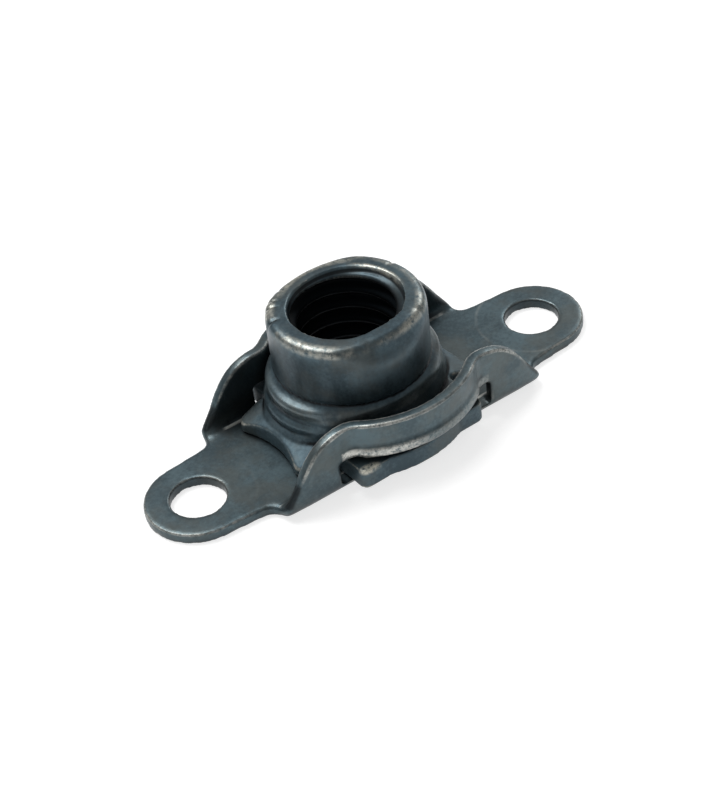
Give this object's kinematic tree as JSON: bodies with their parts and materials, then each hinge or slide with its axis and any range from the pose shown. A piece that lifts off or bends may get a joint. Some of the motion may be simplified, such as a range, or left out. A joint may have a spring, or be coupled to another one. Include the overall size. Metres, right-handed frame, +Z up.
{
  "type": "two-lug floating rivet-on nut",
  "caption": "Sheet steel cage with two riveting lugs that loosely holds a forged threaded nut with a pinched, self-locking barrel.",
  "frame": {"origin": "on the seating face of the cage, midway between the two rivet holes", "axes": "+X along the line of the two rivet holes, +Z up out of the seating face along the nut's barrel, +Y across the cage"},
  "size_m": [0.0352, 0.0163, 0.0096],
  "materials": {
    "cage_steel": "dark oiled phosphate on sheet steel, worn bright on the edges",
    "nut_steel": "dark oiled phosphate on forged steel, worn bright on the rim"
  },
  "bodies": {
    "cage": {"cage": "cage_steel"},
    "nut": {"nut": "nut_steel"}
  },
  "joints": [
    {"name": "nut_float", "type": "slide", "parent": "cage", "child": "nut", "axis": [0, 1, 0], "range_m": [-0.00115, 0.00005]}
  ]
}
